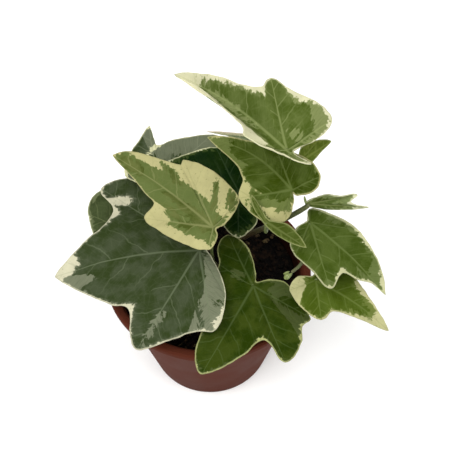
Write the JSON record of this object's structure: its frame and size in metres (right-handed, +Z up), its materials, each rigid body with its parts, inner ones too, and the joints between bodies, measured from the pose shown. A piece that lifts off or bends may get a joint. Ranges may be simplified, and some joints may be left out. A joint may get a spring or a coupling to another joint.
{
  "type": "potted ivy",
  "caption": "Small variegated ivy with cream-edged lobed leaves on trailing stems, growing in compost in a round plastic nursery pot.",
  "frame": {"origin": "centre of the flat boss under the pot, on the surface the pot stands on", "axes": "+Z up out of the pot, -Y towards the front of the plant, +X to its right"},
  "size_m": [0.1352, 0.1161, 0.1512],
  "materials": {
    "pot_plastic": "satin",
    "compost": "matte",
    "leaf": "satin",
    "stalk": "satin",
    "stem": "matte"
  },
  "bodies": {
    "root": {"pot": "pot_plastic", "soil": "compost", "front_stem": "stem", "left_stem": "stem", "right_stem": "stem", "back_stem": "stem", "side_shoot": "stem", "crown_blade": "leaf", "crown_stalk": "stalk", "upper_blade": "leaf", "upper_stalk": "stalk", "cream_blade": "leaf", "cream_stalk": "stalk", "large_blade": "leaf", "large_stalk": "stalk", "front_blade": "leaf", "front_stalk": "stalk", "right_blade": "leaf", "right_stalk": "stalk", "lower_right_blade": "leaf", "lower_right_stalk": "stalk", "young_right_blade": "leaf", "young_centre_blade": "leaf", "young_centre_stalk": "stalk", "small_back_blade": "leaf", "back_blade": "leaf", "back_stalk": "stalk", "back_left_blade": "leaf", "back_left_stalk": "stalk", "dark_centre_blade": "leaf", "dark_centre_stalk": "stalk", "left_under_blade": "leaf", "left_under_stalk": "stalk", "bud": "stalk", "stipule": "stalk"}
  },
  "joints": []
}
